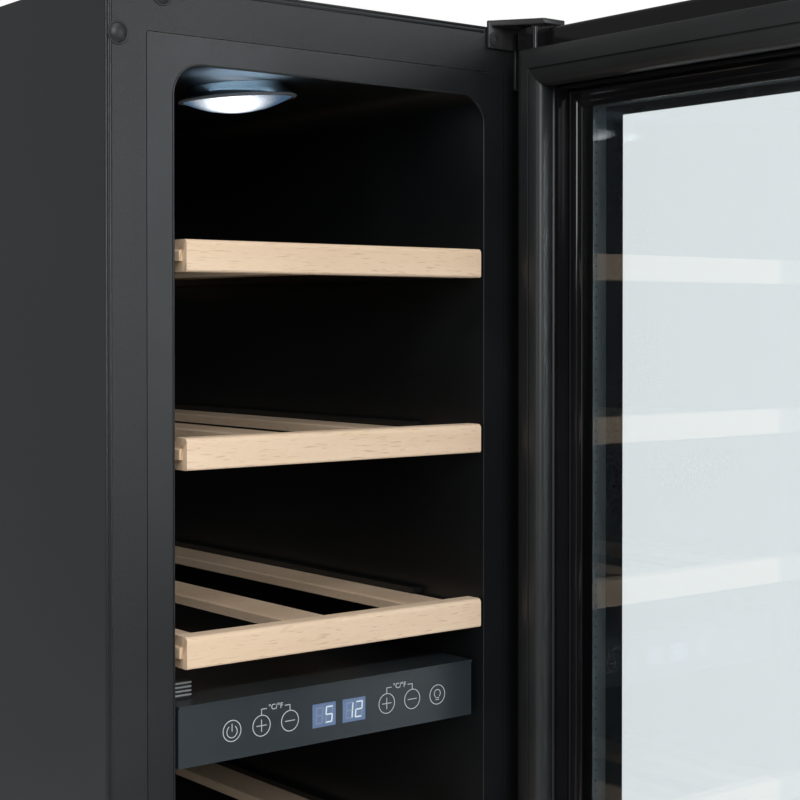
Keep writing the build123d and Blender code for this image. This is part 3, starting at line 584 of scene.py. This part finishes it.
def make_plug_domes():
    """Press-in caps with a lip and a shallow dome, in the spare hinge holes on the left."""
    lip = [(6.2, 0.0), (6.2, 0.35), (5.9, 0.6), (5.4, 0.62), (5.1, 0.42)]
    profile = lip + [(4.8, 0.7), (4.0, 1.35), (2.6, 1.9), (1.2, 2.15), (0.0, 2.2)]
    outer, inner = top_low.x + 7.5 * MM, top_low.x + 33.5 * MM
    places = [(inner, top_high.z - 7.3 * MM), (outer, top_high.z - 30 * MM),
              (inner, flange_low.z + 8.4 * MM), (outer, flange_low.z + 20 * MM)]
    bm = spun(Vector((0, 0, 0)), [(out * MM, up * MM) for out, up in profile], closed=False, steps=40)
    bmesh.ops.contextual_create(bm, geom=[e for e in bm.edges if e.is_boundary])
    bmesh.ops.rotate(bm, cent=(0, 0, 0), matrix=Matrix.Rotation(pi / 2, 3, "X"), verts=bm.verts)
    first = bm.verts[:]
    for x, z in places[1:]:
        copied = bmesh.ops.duplicate(bm, geom=first + list({f for v in first for f in v.link_faces}))["geom"]
        moved = [item for item in copied if isinstance(item, bmesh.types.BMVert)]
        bmesh.ops.translate(bm, vec=(x, front_y, z), verts=moved)
    bmesh.ops.translate(bm, vec=(places[0][0], front_y, places[0][1]), verts=first)
    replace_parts(piece("plug_domes", bm, "cabinet", TRIM_PLASTIC, 30), "plug_caps")


def make_mouth_bead():
    """Rounded edge of the moulded liner, swept all round the cabinet's opening."""
    half, radius, thick = 107.5 * MM, 17.0 * MM, 0.55 * MM
    top, bottom = top_high.z - 42 * MM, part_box("inner_liner")[0].z + 16.6 * MM
    middle = Vector((middle_x, front_y - 0.05 * MM, 0))
    centres = [middle + Vector((x, 0, z)) for x, z in
               ((half - radius, top - radius), (radius - half, top - radius),
                (radius - half, bottom + radius), (half - radius, bottom + radius))]
    bm = bmesh.new()
    ring = bmesh.ops.create_circle(bm, cap_ends=False, segments=8, radius=thick)["verts"]
    bmesh.ops.translate(bm, vec=centres[0] + Vector((radius, 0, 0)), verts=ring)
    loop = ring + list({e for v in ring for e in v.link_edges})
    for number, centre in enumerate(centres):
        bend = bmesh.ops.spin(bm, geom=loop, cent=centre, axis=(0, -1, 0), angle=pi / 2, steps=8)
        edges = [item for item in bend["geom_last"] if isinstance(item, bmesh.types.BMEdge)]
        loop = bmesh.ops.extrude_edge_only(bm, edges=edges)["geom"]
        loop = [item for item in loop if not isinstance(item, bmesh.types.BMFace)]
        ends = [item for item in loop if isinstance(item, bmesh.types.BMVert)]
        bmesh.ops.translate(bm, vec=centres[(number + 1) % 4] - centre, verts=ends)
    bmesh.ops.remove_doubles(bm, verts=bm.verts, dist=1e-6)
    piece("mouth_bead", bm, "cabinet", LINER_PLASTIC, 60)


def make_hinge_plate():
    """Top hinge plate with softened edges: a flange plate, a lengthwise leg and the tapering forward leg."""
    right, top = top_high.x - 0.5 * MM, top_high.z
    width, leg, reach, sheet, radius = 37.5 * MM, 16.0 * MM, 29.0 * MM, 2.4 * MM, 0.7 * MM
    thick, taper = 3.5 * MM, 20.5 * MM
    face = front_y - sheet
    bm = bmesh.new()
    add_block(bm, (right - width, face, top - 13 * MM), (right, front_y, top + 3.6 * MM), radius)
    add_block(bm, (right - leg, face, top - 36.5 * MM), (right, front_y, top - 11 * MM), radius)
    plate = bmesh.ops.create_cube(bm, size=1.0)["verts"]
    bmesh.ops.scale(bm, vec=(width, reach, thick), verts=plate)
    bmesh.ops.translate(bm, vec=(right - width / 2, front_y - reach / 2, top + 1.95 * MM), verts=plate)
    free_corner = [v for v in plate if v.co.y < front_y - 20 * MM and v.co.x < right - 20 * MM]
    bmesh.ops.translate(bm, vec=(taper, 0, 0), verts=free_corner)
    round_edges(bm, plate, radius)
    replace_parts(piece("top_hinge_plate", bm, "cabinet", HINGE_PAINT, 40), "top_hinge_bracket")


# ------------------------------------------------------------------ fans


def make_rotor(node, body):
    """Axial fan rotor: a domed hub and seven twisted blades that sweep back towards their tips."""
    low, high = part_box(node)
    centre, radius, depth = (low + high) / 2, (high.z - low.z) / 2 - 0.3 * MM, high.y - low.y
    hub, bore = 12.0 * MM, 2.2 * MM
    half = depth / 2 - 0.4 * MM
    profile = [(bore, -half), (hub - 0.8 * MM, -half), (hub, 0.8 * MM - half), (hub, half - 2.4 * MM),
               (hub - 1.6 * MM, half - 0.5 * MM), (bore + 2 * MM, half), (bore, half)]
    bm = spun(Vector((0, 0, 0)), profile, closed=True, steps=36)
    along, across, blades = 8, 5, 7
    for blade in range(blades):
        grid = bmesh.ops.create_grid(bm, x_segments=along, y_segments=across, size=0.5)["verts"]
        for vert in grid:
            share, side = vert.co.x + 0.5, vert.co.y
            out = hub - 1 * MM + share * (radius - hub + 1 * MM)
            turn = blade * 2 * pi / blades + side * (0.62 + 0.12 * share) - 0.35 * share * share
            lift = side * 1.7 * half * (1 - 0.35 * share) + 0.5 * MM * (1 - 4 * side * side)
            vert.co = Vector((out * cos(turn), out * sin(turn), lift))
        faces = list({f for v in grid for f in v.link_faces})
        bmesh.ops.solidify(bm, geom=faces, thickness=0.9 * MM)
    bmesh.ops.rotate(bm, cent=(0, 0, 0), matrix=Matrix.Rotation(pi / 2, 3, "X"), verts=bm.verts)
    bmesh.ops.translate(bm, vec=centre, verts=bm.verts)
    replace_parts(piece(f"{body}_blades", bm, body, TRIM_PLASTIC, 50), node)


# ------------------------------------------------------------------ lamps

LAMP_BASE_HEIGHT = 6.0 * MM
LAMP_DROP = 8.0 * MM  # middle of the lamp's rim below the ceiling
LAMP_TILT = radians(5.0)  # the lamps lean towards the left
LAMP_RADIUS = 33.0 * MM
lamp_y = (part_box("lamp_bases")[0].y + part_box("lamp_bases")[1].y) / 2


def make_lamp(name, ceiling):
    """Tilted housing, rim and domed diffuser with a finely ribbed outer band.
    Returns the housing and the diffuser."""
    centre = Vector((middle_x, lamp_y, ceiling - LAMP_DROP))
    tilt = Matrix.Translation(centre) @ Matrix.Rotation(-LAMP_TILT, 4, "Y") @ Matrix.Translation(-centre)
    housing_profile = [(35.0, -0.4), (34.6, 1.0), (31.0, 4.2), (29.5, 7.6), (28.0, 7.6), (28.0, -0.4)]
    bm = spun(centre, [(out * MM, up * MM) for out, up in housing_profile], closed=True, steps=72)
    bmesh.ops.transform(bm, matrix=tilt, verts=bm.verts)
    keep_below(bm, ceiling)
    housing = piece(f"{name}_housing", bm, "cabinet", PANEL_SLATE, 45)
    rim_profile = [(35.2, 0.2), (36.2, 0.1), (36.4, -0.6), (35.7, -1.4), (34.4, -1.7), (33.2, -1.3),
                   (33.0, 0.2)]
    bm = spun(centre, [(out * MM, up * MM) for out, up in rim_profile], closed=True, steps=72)
    bmesh.ops.transform(bm, matrix=tilt, verts=bm.verts)
    piece(f"{name}_rim", bm, "cabinet", LAMP_RING, 45)
    steps, edge, ribs = 14, LAMP_RADIUS - 0.2 * MM, 96
    dome = [(edge, 0.0)]
    for step in range(steps + 1):
        share = step / steps
        dome.append((edge * (1 - share), (-1.0 - 8.0 * (1 - (1 - share) ** 2)) * MM))
    bm = spun(centre, dome, closed=False, steps=ribs)
    for vert in bm.verts:
        flat = Vector((vert.co.x - centre.x, vert.co.y - centre.y))
        if 0.45 * LAMP_RADIUS < flat.length < 0.98 * LAMP_RADIUS:
            number = round(ribs * (Vector((1, 0)).angle_signed(flat) / (2 * pi)))
            vert.co.z += 0.3 * MM * (1 if number % 2 else -1)
    bmesh.ops.contextual_create(bm, geom=[e for e in bm.edges if e.is_boundary])
    bmesh.ops.transform(bm, matrix=tilt, verts=bm.verts)
    bright = centre + Vector((-12 * MM, -14 * MM, -6 * MM))
    glow = glowing(f"{name}_glow", (0.9, 0.96, 1.0), (0.020, 0.036, 0.060), bright, LAMP_RADIUS, 2.8)
    return housing, piece(f"{name}_dome", bm, "cabinet", glow, 60)


def keep_below(bm, level):
    """Trims a closed shape at a height, and closes it again."""
    cut = bmesh.ops.bisect_plane(bm, geom=bm.verts[:] + bm.edges[:] + bm.faces[:], plane_co=(0, 0, level),
                                 plane_no=(0, 0, 1), clear_outer=True)
    edges = [item for item in cut["geom_cut"] if isinstance(item, bmesh.types.BMEdge)]
    if edges:
        bmesh.ops.holes_fill(bm, edges=edges, sides=0)


def make_lamps():
    """Both ceiling lamps, in place of the plain ones."""
    base_low, base_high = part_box("lamp_bases")
    housing, dome = make_lamp("upper_lamp", base_high.z)
    make_lamp("lower_lamp", base_low.z + LAMP_BASE_HEIGHT)
    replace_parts(housing, "lamp_bases")
    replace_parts(dome, "lamp_lenses")


# ------------------------------------------------------------------ control panel

face_low, face_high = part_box("control_face")
ICON_HEIGHT = face_low.z + 15.5 * MM
ICON_LIFT = 0.12 * MM
STROKE = 0.42 * MM


# each touch key, in mm from the middle of the two displays
ICON_OFFSETS = {"power": -72.0, "plus": -52.9, "minus": -34.0, "plus_2": 34.0, "minus_2": 52.9, "lamp": 72.0}


def add_stroke(bm, start, end, width=STROKE):
    """Flat printed line between two (x, z) points of the panel."""
    start, end = Vector((start[0], 0, start[1])), Vector((end[0], 0, end[1]))
    run = end - start
    made = bmesh.ops.create_cube(bm, size=1.0)["verts"]
    bmesh.ops.scale(bm, vec=(run.length + width, 2 * ICON_LIFT, width), verts=made)
    turn = Matrix.Rotation(Vector((1, 0)).angle_signed(Vector((run.x, run.z))), 4, "Y")
    place = Matrix.Translation((start + end) / 2 + Vector((0, face_low.y, 0))) @ turn
    bmesh.ops.transform(bm, matrix=place, verts=made)


def add_arc(bm, x, z, radius, start=0.0, sweep=2 * pi, width=STROKE, steps=40):
    """Flat printed arc round (x, z) of the panel."""
    section = [(radius - width / 2, -ICON_LIFT), (radius + width / 2, -ICON_LIFT),
               (radius + width / 2, ICON_LIFT), (radius - width / 2, ICON_LIFT)]
    centre = Vector((x, face_low.y, z))
    verts = [bm.verts.new(centre + Vector((out * cos(start), depth, out * sin(start))))
             for out, depth in section]
    edges = [bm.edges.new((verts[i - 1], verts[i])) for i in range(4)]
    whole = sweep >= 2 * pi
    bmesh.ops.spin(bm, geom=verts + edges, cent=centre, axis=(0, -1, 0), angle=sweep, steps=steps,
                   use_merge=whole)
    if not whole:
        bmesh.ops.holes_fill(bm, edges=[e for e in bm.edges if e.is_boundary], sides=4)


def make_panel_trim():
    """Thin black lip along the top of the touch face, and the pale ribs of the sensor vent behind it."""
    housing_low, housing_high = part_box("control_housing")
    bm = bmesh.new()
    lip = Vector((0, face_low.y - 0.1 * MM, face_high.z + 0.35 * MM))
    start, end = housing_low.x + 0.3 * MM, housing_high.x - 0.3 * MM
    add_rod(bm, lip + Vector((start, 0, 0)), lip + Vector((end, 0, 0)), 0.6 * MM)
    piece("panel_lip", bm, "cabinet", GLOSS_BLACK, 40)
    bm = bmesh.new()
    for number in range(4):
        rib = Vector((housing_low.x, housing_low.y + 17.5 * MM, housing_high.z - (7.25 - 2.2 * number) * MM))
        add_rod(bm, rib + Vector((8 * MM, 0, 0)), rib + Vector((18 * MM, 0, 0)), 0.62 * MM)
    piece("vent_ribs", bm, "cabinet", RIB_GREY, 40)


def make_icons():
    """Touch icons: power, plus, minus and lamp, each in a thin circle, with the unit brackets."""
    bm = bmesh.new()
    display_low, display_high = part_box("displays")
    axis = (display_low.x + display_high.x) / 2
    places = {name: axis + offset * MM for name, offset in ICON_OFFSETS.items()}
    for x in places.values():
        add_arc(bm, x, ICON_HEIGHT, 5.7 * MM)
    arm = 3.1 * MM
    for name in ("plus", "minus", "plus_2", "minus_2"):
        x = places[name]
        add_stroke(bm, (x - arm, ICON_HEIGHT), (x + arm, ICON_HEIGHT))
        if name.startswith("plus"):
            add_stroke(bm, (x, ICON_HEIGHT - arm), (x, ICON_HEIGHT + arm))
    add_arc(bm, places["power"], ICON_HEIGHT - 0.4 * MM, 3.3 * MM, radians(125), radians(290), steps=28)
    add_stroke(bm, (places["power"], ICON_HEIGHT - 0.2 * MM), (places["power"], ICON_HEIGHT + 3.6 * MM))
    x = places["lamp"]
    add_arc(bm, x, ICON_HEIGHT + 0.7 * MM, 2.3 * MM, radians(-55), radians(290), steps=24)
    for drop in (1.9, 3.0):
        add_stroke(bm, (x - 1.1 * MM, ICON_HEIGHT - drop * MM), (x + 1.1 * MM, ICON_HEIGHT - drop * MM))
    for left, right in (("plus", "minus"), ("plus_2", "minus_2")):
        level = ICON_HEIGHT + 9.0 * MM
        for x, way in ((places[left], 1), (places[right], -1)):
            add_stroke(bm, (x, ICON_HEIGHT + 5.9 * MM), (x, level))
            add_stroke(bm, (x, level), (x + way * 3.2 * MM, level))
    piece("touch_icons", bm, "cabinet", ICON_PRINT, 30)
    return places


def make_unit_legend(places):
    """Small degree units between the brackets."""
    for number, (left, right) in enumerate((("plus", "minus"), ("plus_2", "minus_2")), start=1):
        text = bpy.data.curves.new(f"unit_legend_{number}", "FONT")
        text.body = "°C/°F"
        text.size = 4.3 * MM
        text.align_x, text.align_y = "CENTER", "CENTER"
        text.extrude = ICON_LIFT
        holder = bpy.data.objects.new("legend_curve", text)
        bpy.context.scene.collection.objects.link(holder)
        bpy.context.view_layer.update()
        mesh = bpy.data.meshes.new_from_object(holder)
        bpy.data.objects.remove(holder)
        middle = (places[left] + places[right]) / 2
        place = Matrix.Translation((middle, face_low.y, ICON_HEIGHT + 9.2 * MM))
        mesh.transform(place @ Matrix.Rotation(pi / 2, 4, "X"))
        made = bpy.data.objects.new(f"unit_legend_{number}", mesh)
        bpy.context.scene.collection.objects.link(made)
        mesh.materials.clear()
        mesh.materials.append(ICON_PRINT)
        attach(made, "cabinet")


SEGMENTS = {" ": "", "1": "bc", "2": "abged", "5": "afgcd", "8": "abcdefg"}


def add_digit(bm, x, z, width, height, segments):
    """Seven-segment digit with its lower left corner at x, z."""
    half, gap = height / 2, 0.35 * MM
    bars = {
        "a": ((gap, height), (width - gap, height)),
        "g": ((gap, half), (width - gap, half)),
        "d": ((gap, 0), (width - gap, 0)),
        "f": ((0, half + gap), (0, height - gap)),
        "b": ((width, half + gap), (width, height - gap)),
        "e": ((0, gap), (0, half - gap)),
        "c": ((width, gap), (width, half - gap)),
    }
    for name in segments:
        (x0, z0), (x1, z1) = bars[name]
        slant = 0.08
        add_stroke(bm, (x + x0 + slant * z0, z + z0), (x + x1 + slant * z1, z + z1), 0.75 * MM)


def make_digits():
    """Two two-digit readings: the set temperatures of the upper and the lower zone."""
    low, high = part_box("displays")
    window = 16.2 * MM
    width, height = 4.3 * MM, 8.6 * MM
    lit_bars, ghost_bars = bmesh.new(), bmesh.new()
    for start, reading in ((low.x, " 5"), (high.x - window, "12")):
        for number, digit in enumerate(reading):
            x = start + (2.2 + 6.7 * number) * MM
            z = low.z + 2.3 * MM
            add_digit(lit_bars, x, z, width, height, SEGMENTS[digit])
            add_digit(ghost_bars, x, z, width, height, sorted(set(SEGMENTS["8"]) - set(SEGMENTS[digit])))
    piece("display_digits", lit_bars, "cabinet", SEGMENT_WHITE, 30)
    piece("display_unlit_segments", ghost_bars, "cabinet", SEGMENT_GHOST, 30)


# ------------------------------------------------------------------ stage, lights and camera


def stage():
    """Plain pale round floor."""
    bm = bmesh.new()
    bmesh.ops.create_circle(bm, cap_ends=True, segments=96, radius=0.95)
    mesh = bpy.data.meshes.new("studio_floor")
    bm.to_mesh(mesh)
    bm.free()
    floor = bpy.data.objects.new("studio_floor", mesh)
    bpy.context.scene.collection.objects.link(floor)
    floor.location.z = -0.0005
    material, tree, shader = new_material("pale_floor")
    cloud = noise(tree, stretched(tree, (1, 1, 1)), 1.2, 2.0)
    shade = mix_colour(tree, cloud, (0.86, 0.86, 0.86, 1), (0.9, 0.9, 0.9, 1))
    tree.links.new(shade, shader.inputs["Base Color"])
    tree.links.new(shade, shader.inputs["Emission Color"])
    shader.inputs["Emission Strength"].default_value = 0.3
    shader.inputs["Roughness"].default_value = 0.7
    mesh.materials.append(material)


def area_light(name, place, aim, size, power, colour=(1, 1, 1)):
    lamp = bpy.data.lights.new(name, "AREA")
    lamp.shape = "RECTANGLE"
    lamp.size, lamp.size_y = size
    lamp.energy = power
    lamp.color = colour
    holder = bpy.data.objects.new(name, lamp)
    bpy.context.scene.collection.objects.link(holder)
    holder.location = place
    holder.rotation_euler = (Vector(aim) - Vector(place)).to_track_quat("-Z", "Y").to_euler()


def studio():
    """White surroundings that show at full strength directly and through glass, and dimly in reflections."""
    world = bpy.data.worlds.new("studio_white")
    bpy.context.scene.world = world
    world.use_nodes = True
    tree = world.node_tree
    sky = tree.nodes["Background"]
    sky.inputs["Color"].default_value = (1.0, 1.0, 1.0, 1)
    rays = tree.nodes.new("ShaderNodeLightPath")
    straight = maths(tree, "MAXIMUM", rays.outputs["Is Camera Ray"], rays.outputs["Is Transmission Ray"])
    strength = maths(tree, "ADD", maths(tree, "MULTIPLY", straight, 0.72), 0.28)
    tree.links.new(strength, sky.inputs["Strength"])
    target = (0, 0, 0.5)
    area_light("key_softbox", (-1.0, -2.6, 1.7), target, (1.0, 1.6), 44, (0.97, 0.99, 1.0))
    area_light("side_softbox", (-2.6, -0.4, 1.2), target, (1.0, 1.8), 10)
    area_light("fill_softbox", (1.6, -2.6, 1.0), target, (0.8, 1.6), 16, (0.9, 0.96, 1.0))
    area_light("top_softbox", (0.0, -1.0, 2.6), target, (1.4, 1.2), 10)


def lamp_glow():
    """The upper lamp's own light on the ceiling in front of it; the light itself is not seen."""
    glow = bpy.data.lights.new("ceiling_glow", "AREA")
    glow.shape, glow.size = "DISK", 0.05
    glow.energy, glow.color = 0.3, (0.68, 0.84, 1.0)
    holder = bpy.data.objects.new("ceiling_glow", glow)
    bpy.context.scene.collection.objects.link(holder)
    holder.location = (middle_x - 22 * MM, lamp_y - 38 * MM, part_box("lamp_bases")[1].z - 7.5 * MM)
    holder.rotation_euler = (pi, 0, 0)
    holder.visible_camera = False
    holder.visible_glossy = False
    holder.visible_transmission = False


def camera():
    """Standing at the front left, level with the upper part, looking into the opening."""
    lens = bpy.data.cameras.new("camera")
    lens.sensor_width = 36.0
    lens.lens = 75.96
    lens.shift_y = -0.0741
    lens.clip_start = 0.01
    eye = bpy.data.objects.new("camera", lens)
    bpy.context.scene.collection.objects.link(eye)
    eye.location = corner + Vector((-0.41456, -0.76482, -0.17743))
    eye.rotation_euler = (radians(90 - 0.64), 0, radians(-38.364))
    bpy.context.scene.camera = eye


# ------------------------------------------------------------------ all of it

finish_cad_nodes()
make_gasket()
make_retainer()
make_border_print()
make_perforations()
make_folded_edges()
make_plug_domes()
make_mouth_bead()
make_hinge_plate()
for rotor_body in ("upper_fan", "lower_fan", "condenser_fan"):
    make_rotor(f"{rotor_body}_rotor", rotor_body)
make_lamps()
make_panel_trim()
make_unit_legend(make_icons())
make_digits()
stage()
studio()
lamp_glow()
camera()
bpy.context.scene.view_settings.view_transform = "Standard"
